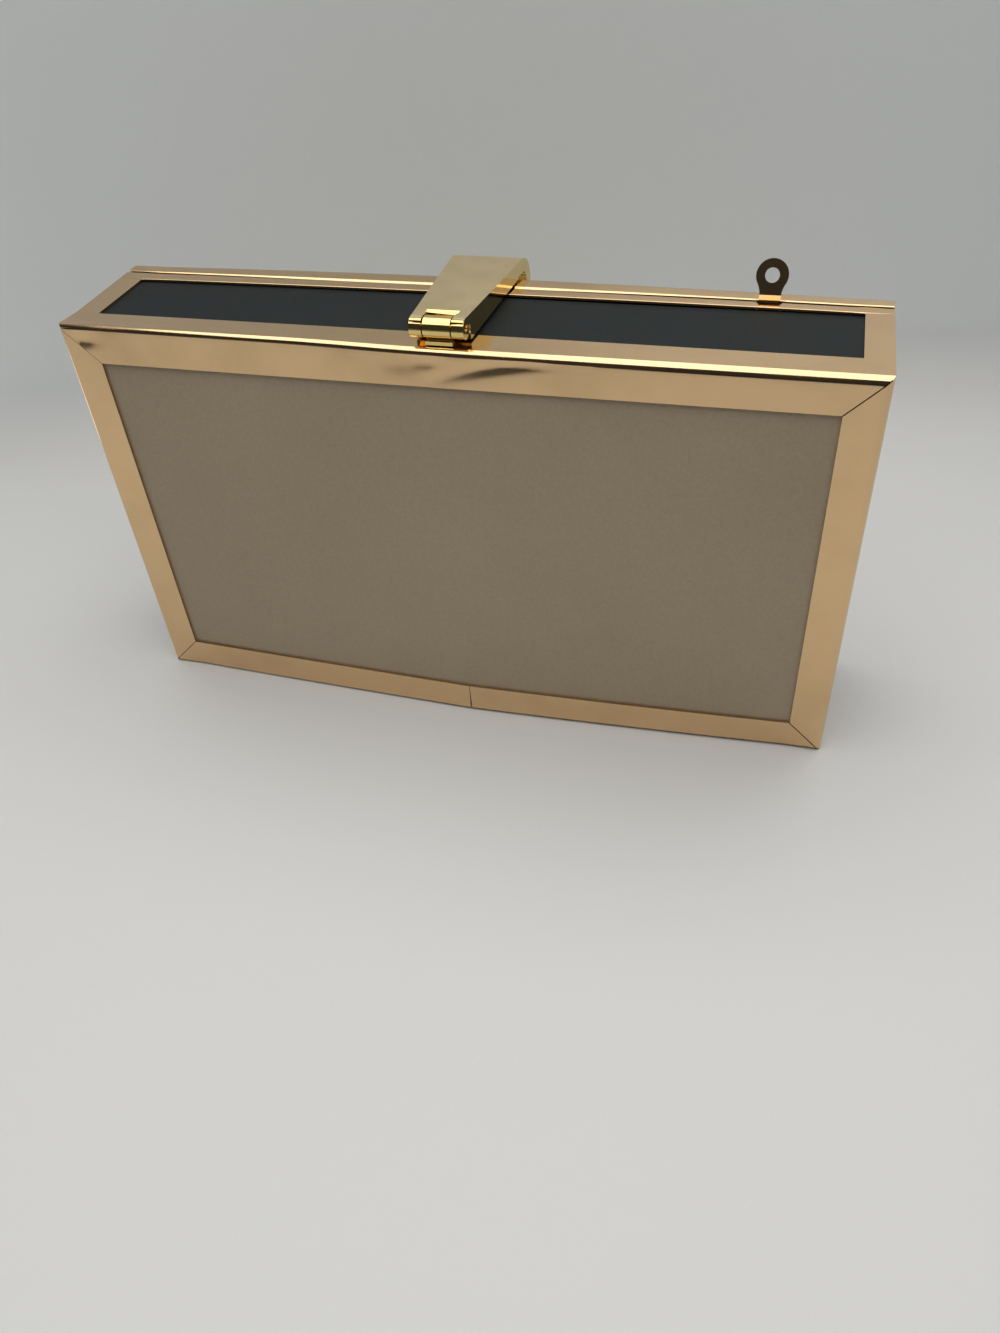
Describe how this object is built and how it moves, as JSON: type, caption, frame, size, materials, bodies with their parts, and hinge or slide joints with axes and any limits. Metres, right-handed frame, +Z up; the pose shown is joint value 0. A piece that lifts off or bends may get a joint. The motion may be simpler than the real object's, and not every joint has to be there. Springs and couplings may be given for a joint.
{
  "type": "box clutch bag",
  "caption": "Hard box clutch bag: deep case and shallow hinged lid in folded gilt metal frames with leather panels, a lift clasp over the top edge and a strap tab.",
  "frame": {"origin": "middle of the flat bottom, half way along the bag and half way between the front and back faces at a corner", "axes": "+X along the bag to its right seen from the front, +Y to the back, +Z up"},
  "size_m": [0.2, 0.0532, 0.1214],
  "materials": {
    "gilt": "polished light rose gold plate",
    "satin_gilt": "satin light gold plate",
    "taupe_leather": "fine-grained, slightly padded",
    "black_leather": "smooth matt"
  },
  "bodies": {
    "case": {"case_frame": "gilt", "front_panel": "taupe_leather", "top_inset": "black_leather", "left_inset": "black_leather", "right_inset": "black_leather", "case_hinge_leaf": "gilt", "hinge_pin": "gilt", "clasp_base": "gilt", "strap_tab": "gilt"},
    "lid": {"lid_frame": "gilt", "back_panel": "taupe_leather", "lid_hinge_leaf": "gilt"},
    "clasp": {"clasp_flap": "satin_gilt", "clasp_pin": "gilt"}
  },
  "joints": [
    {"name": "lid_hinge", "type": "hinge", "parent": "case", "child": "lid", "pos_m": [0, 0.0158, 0.0015], "axis": [-1, 0, 0], "range_deg": [0, 55]},
    {"name": "clasp_hinge", "type": "hinge", "parent": "case", "child": "clasp", "pos_m": [0, -0.0165, 0.1164], "axis": [1, 0, 0], "range_deg": [0, 110]}
  ],
  "couplings": [
    {"joint": "clasp_hinge", "follows": "lid_hinge", "ratio": 2}
  ]
}
